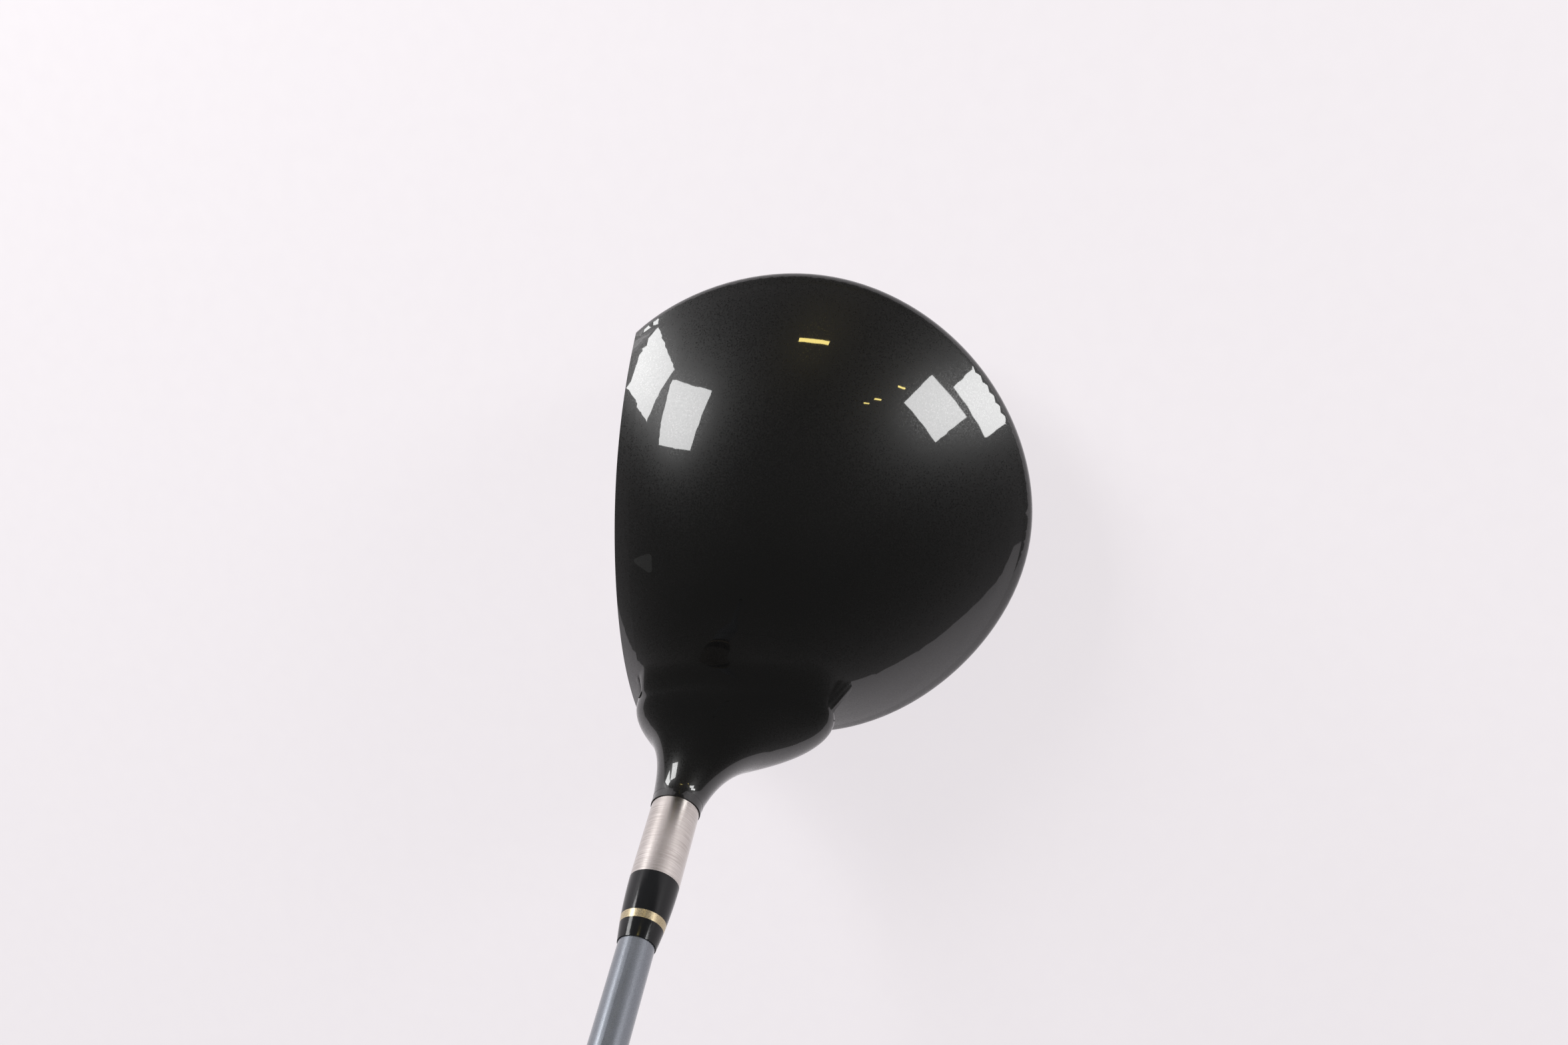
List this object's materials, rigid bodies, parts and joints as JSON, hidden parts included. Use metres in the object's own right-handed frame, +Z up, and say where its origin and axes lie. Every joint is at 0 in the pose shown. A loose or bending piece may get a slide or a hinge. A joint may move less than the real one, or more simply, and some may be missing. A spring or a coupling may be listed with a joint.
{
  "type": "golf driver",
  "caption": "Right-handed golf driver: hollow rounded head with a black crown, bare metal hosel, black ferrule, tapered shaft, rubber grip and screw-in sole weights.",
  "frame": {"origin": "middle of the small flat on the sole that the head rests on at address", "axes": "+Z up, -Y the way the face looks and the ball leaves, -X toward the toe; the shaft leans up toward +X at the lie angle"},
  "size_m": [0.6889, 0.1073, 0.9961],
  "materials": {
    "head_paint": "gloss",
    "crown_paint": "gloss",
    "face_titanium": "satin",
    "sole_titanium": "satin",
    "mark_paint": "satin",
    "hosel_metal": "satin",
    "port_metal": "satin",
    "weight_metal": "satin",
    "retainer_plastic": "matte",
    "screw_steel": "satin",
    "shaft_paint": "satin",
    "tip_brass": "satin",
    "ferrule_plastic": "gloss",
    "ferrule_gold": "satin",
    "grip_tape": "matte",
    "grip_rubber": "matte",
    "cap_rubber": "matte"
  },
  "bodies": {
    "club": {"head_body": "head_paint", "crown_shell": "crown_paint", "face_plate": "face_titanium", "sole_plate": "sole_titanium", "alignment_mark": "mark_paint", "hosel_sleeve": "hosel_metal", "weight_port_toe": "port_metal", "weight_port_heel": "port_metal", "shaft": "shaft_paint", "shaft_tip_weight": "tip_brass", "ferrule_base": "ferrule_plastic", "ferrule_ring": "ferrule_gold", "ferrule_tip": "ferrule_plastic", "grip_tape": "grip_tape", "grip": "grip_rubber", "grip_cap": "cap_rubber"},
    "weight_toe": {"weight_mass_toe": "weight_metal", "weight_retainer_toe": "retainer_plastic"},
    "screw_toe": {"weight_screw_toe": "screw_steel"},
    "weight_heel": {"weight_mass_heel": "weight_metal", "weight_retainer_heel": "retainer_plastic"},
    "screw_heel": {"weight_screw_heel": "screw_steel"}
  },
  "joints": [
    {"name": "weight_toe_out", "type": "slide", "parent": "club", "child": "weight_toe", "axis": [0, 0, -1], "range_m": [0, 0.009]},
    {"name": "screw_toe_turn", "type": "hinge", "parent": "weight_toe", "child": "screw_toe", "pos_m": [-0.027, 0.02, 0.009], "axis": [0, 0, -1], "range_deg": [0, 4050]},
    {"name": "weight_heel_out", "type": "slide", "parent": "club", "child": "weight_heel", "axis": [0, 0, -1], "range_m": [0, 0.009]},
    {"name": "screw_heel_turn", "type": "hinge", "parent": "weight_heel", "child": "screw_heel", "pos_m": [0.024, 0.02, 0.009], "axis": [0, 0, -1], "range_deg": [0, 4050]}
  ],
  "couplings": [
    {"joint": "screw_toe_turn", "follows": "weight_toe_out", "rad_per_m": 7854},
    {"joint": "screw_heel_turn", "follows": "weight_heel_out", "rad_per_m": 7854}
  ]
}
